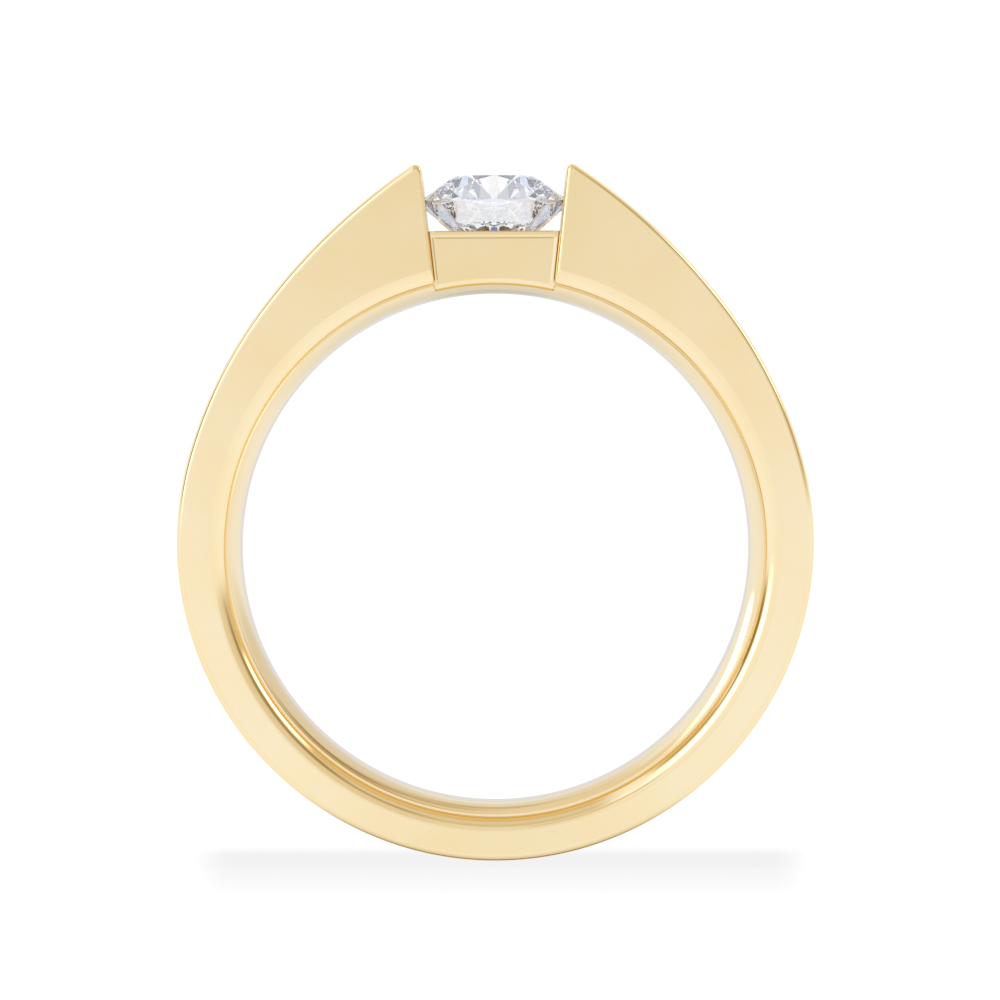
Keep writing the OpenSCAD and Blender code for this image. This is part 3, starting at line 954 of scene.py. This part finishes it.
# World: a white tent about the ring, with a tan wall at the right and a paler or darker card wherever the
# photo's gold shows one. This isn't plain light: here and on the light table, places and lights were fitted
# to colours measured in the photo. The tent and its tan wall are each (degrees above the horizon, light)
TENT = (
    (-10, (0.8, 0.7, 0.5)),
    (-4, (0.95, 0.96, 1.05)),
    (6, (1.0, 1.03, 1.17)),
    (25, (1.02, 1.06, 1.19)),
    (49, (1.0, 1.035, 1.16)),
    (68, (1.0, 1.02, 1.12)),
    (90, (0.97, 0.98, 1.04)),
)
TAN_WALL = (
    (-5, (0.8, 0.59, 0.24)),
    (4, (0.74, 0.57, 0.32)),
    (12, (0.7, 0.58, 0.42)),
    (22, (0.75, 0.68, 0.55)),
    (34, (0.79, 0.74, 0.65)),
    (44, (0.7, 0.63, 0.52)),
    (58, (0.8, 0.75, 0.66)),
    (74, (0.81, 0.77, 0.72)),
    (90, (0.84, 0.82, 0.8)),
)
TAN_WALL_PLACE = (61, 52, -12, 83, 3)
TENT_CARDS = (
    ((0.87, 0.85, 0.83), 95, 14, 58, 79, 4),
    ((0.74, 0.68, 0.55), 112, 14, 61, 70, 2),
    ((0.68, 0.62, 0.51), 88, 20, 47, 53, 3),
    ((0.5, 0.41, 0.29), 60, 12, 37, 48, 4),
    ((0.38, 0.29, 0.17), 41, 11, 30, 45, 4),
    ((0.38, 0.3, 0.18), 24, 9, 24, 41, 4),
    ((2.3, 2.3, 2.3), 34, 8, -3, 21, 3),
    ((0.77, 0.54, 0.21), 140, 36, -12, 0, 2),
    ((0.6, 0.46, 0.25), 150, 22, -4, 22, 3),
    ((0.32, 0.22, 0.09), 161, 7, 1, 19, 3),
    ((1.0, 1.0, 1.1), 150, 3, 3, 10, 2),
    ((1.15, 1.25, 1.6), 131, 9, 44, 60, 5),
    ((2.3, 2.3, 2.3), 151, 19, 30, 53, 5),
)

# Straight above, where the flat faces look: (slope away from the darkest point, light)
OVERHEAD = (
    (0.0, (0.815, 0.81, 0.8)),
    (0.02, (0.865, 0.865, 0.88)),
    (0.04, (0.92, 0.92, 0.98)),
    (0.06, (0.95, 0.965, 1.06)),
    (0.08, (0.995, 1.055, 1.26)),
    (0.09, (1.0, 1.07, 1.29)),
    (0.13, (0.99, 1.04, 1.2)),
    (0.3, (1.0, 1.02, 1.12)),
)
DARKEST_OVERHEAD = (0.0, 0.045, 1.0)
CREAM_OVERHEAD = (0.0, -0.062, 1.0)
CREAM = light((0.9, 0.891, 0.846))

# What the stone shows through its facets: a mosaic of flecks, (share of them from which on, light), and over
# it cards that each fill a facet or two. Both are the same at left and right, and fitted as the tent is
FLECKS = (
    (0.0, (1.15, 1.15, 1.15)),
    (0.24, (0.279, 0.291, 0.315)),
    (0.44, (0.78, 0.78, 0.78)),
    (0.56, (0.0651, 0.0679, 0.0735)),
    (0.74, (0.4875, 0.572, 0.8125)),
    (0.8, (0.7875, 0.735, 0.66)),
    (0.84, (0.0372, 0.0388, 0.042)),
)
FLECKS_SCALE = 9.0
UNDER_STONE = light((1.0, 1.05, 1.13))
STONE_CARDS = (
    ((1.06, 1.05, 1.02), -90, 61, -80, -67, 1),
    ((0.64, 0.64, 0.67), -20, 7, -80, -73, 1),
    ((0.4, 0.4, 0.42), -2, 5, -67, -60, 1),
    ((0.55, 0.55, 0.59), -14, 14, -57, -45, 1),
    ((0.83, 0.84, 0.86), 8, 6, -56, -46, 1),
    ((0.7, 0.79, 0.95), -14, 12, -43, -31, 1),
    ((0.02, 0.02, 0.04), -72, 9, -49, -38, 1),
    ((0.03, 0.03, 0.06), -55, 6, -41, -33, 1),
    ((0.88, 0.91, 0.96), 42, 16, -16, 12, 1),
    ((0.9, 0.92, 0.96), -90, 8, 61, 73, 1),
    ((0.32, 0.3, 0.36), -11, 5, -5, 4, 1),
    ((0.1, 0.1, 0.14), -34, 5, 22, 31, 1),
    ((0.12, 0.13, 0.2), 75, 6, 29, 41, 1),
    ((0.33, 0.34, 0.43), 55, 5, 40, 50, 1),
    ((0.25, 0.3, 0.45), -55, 6, -10, 0, 1),
    ((1.0, 1.02, 1.08), -66, 9, 7, 23, 1),
    ((0.95, 0.97, 1.03), 71, 9, -3, 13, 1),
    ((0.02, 0.02, 0.03), 79, 3, 6, 10, 1),
    ((0.14, 0.2, 0.62), 90, 4, 5, 11, 1),
    ((0.6, 0.61, 0.66), 1, 5, 14, 24, 1),
    ((0.95, 0.96, 1.0), 29, 7, 9, 29, 1),
    ((0.95, 0.96, 1.0), 20, 7, 43, 53, 1),
    ((0.48, 0.48, 0.5), -29, 6, -30, -20, 1),
)

world = bpy.data.worlds.new("tent")
world.use_nodes = True
scene.world = world
tree = world.node_tree
tree.nodes.clear()
look = add_node(tree, "ShaderNodeTexCoord", output="Generated")
look_x = add_node(tree, "ShaderNodeSeparateXYZ", None, {0: look}, "X")
look_y = look_x.node.outputs["Y"]
look_z = look_x.node.outputs["Z"]
sideways = add_node(tree, "ShaderNodeVectorMath", TIMES, {0: look, 1: (1, 1, 0)})
level_look = add_node(tree, "ShaderNodeVectorMath", {"operation": "NORMALIZE"}, {0: sideways})
rise = add_node(tree, "ShaderNodeMath", {"operation": "ARCSINE"}, {0: look_z})
rise = add_node(tree, "ShaderNodeMath", {"operation": "DEGREES"}, {0: rise})

sky = gradient(tree, rise, TENT)
tan_wall = gradient(tree, rise, TAN_WALL)
on_tan_wall = on_card(tree, level_look, look_z, *TAN_WALL_PLACE)
sky = add_node(tree, "ShaderNodeMix", COLOURS, {AMOUNT: on_tan_wall, UNDER: sky, OVER: tan_wall}, MIXED)
sky = with_cards(tree, sky, level_look, look_z, TENT_CARDS)

depth = add_node(tree, "ShaderNodeCombineXYZ", None, {0: look_z, 1: look_z, 2: look_z})
tilt = add_node(tree, "ShaderNodeVectorMath", {"operation": "DIVIDE"}, {0: look, 1: depth})
from_darkest = add_node(tree, "ShaderNodeVectorMath", DISTANCE, {0: tilt, 1: DARKEST_OVERHEAD}, "Value")
overhead = gradient(tree, from_darkest, OVERHEAD)
from_cream = add_node(tree, "ShaderNodeVectorMath", DISTANCE, {0: tilt, 1: CREAM_OVERHEAD}, "Value")
on_cream = add_node(tree, "ShaderNodeMapRange", SOFT, {VALUE: from_cream, ZERO_AT: 0.035, ONE_AT: 0.0})
overhead = add_node(tree, "ShaderNodeMix", COLOURS, {AMOUNT: on_cream, UNDER: overhead, OVER: CREAM}, MIXED)
steep = add_node(tree, "ShaderNodeMapRange", SOFT, {VALUE: rise, ZERO_AT: 80, ONE_AT: 85})
sky = add_node(tree, "ShaderNodeMix", COLOURS, {AMOUNT: steep, UNDER: sky, OVER: overhead}, MIXED)

unsigned_look = add_node(tree, "ShaderNodeVectorMath", UNSIGNED, {0: look})
unsigned_x = add_node(tree, "ShaderNodeSeparateXYZ", None, {0: unsigned_look}, "X")
even_look = add_node(tree, "ShaderNodeCombineXYZ", None, {0: unsigned_x, 1: look_y, 2: look_z})
fleck = add_node(
    tree, "ShaderNodeTexVoronoi", {"feature": "F1"}, {"Vector": even_look, "Scale": FLECKS_SCALE}, "Color"
)
chance = add_node(tree, "ShaderNodeSeparateColor", None, {"Color": fleck}, "Red")
stone_sky = add_node(tree, "ShaderNodeValToRGB", None, {0: chance})
stone_sky.node.color_ramp.interpolation = "CONSTANT"
set_stops(stone_sky.node.color_ramp, FLECKS)
below = add_node(tree, "ShaderNodeMapRange", SOFT, {VALUE: rise, ZERO_AT: -57, ONE_AT: -59})
stone_sky = add_node(
    tree, "ShaderNodeMix", COLOURS, {AMOUNT: below, UNDER: stone_sky, OVER: UNDER_STONE}, MIXED
)
even_sideways = add_node(tree, "ShaderNodeVectorMath", TIMES, {0: even_look, 1: (1, 1, 0)})
even_level = add_node(tree, "ShaderNodeVectorMath", {"operation": "NORMALIZE"}, {0: even_sideways})
stone_sky = with_cards(tree, stone_sky, even_level, look_z, STONE_CARDS)
through_stone = add_node(tree, "ShaderNodeLightPath", output="Is Transmission Ray")
sky = add_node(tree, "ShaderNodeMix", COLOURS, {AMOUNT: through_stone, UNDER: sky, OVER: stone_sky}, MIXED)
background = add_node(tree, "ShaderNodeBackground", None, {"Color": sky, "Strength": 1.0})
add_node(tree, "ShaderNodeOutputWorld", None, {"Surface": background})

scene.view_settings.view_transform = "Standard"
scene.view_settings.look = "None"

# Light crosses the stone many times before it leaves
scene.cycles.max_bounces = 48
scene.cycles.glossy_bounces = 40
scene.cycles.transmission_bounces = 40
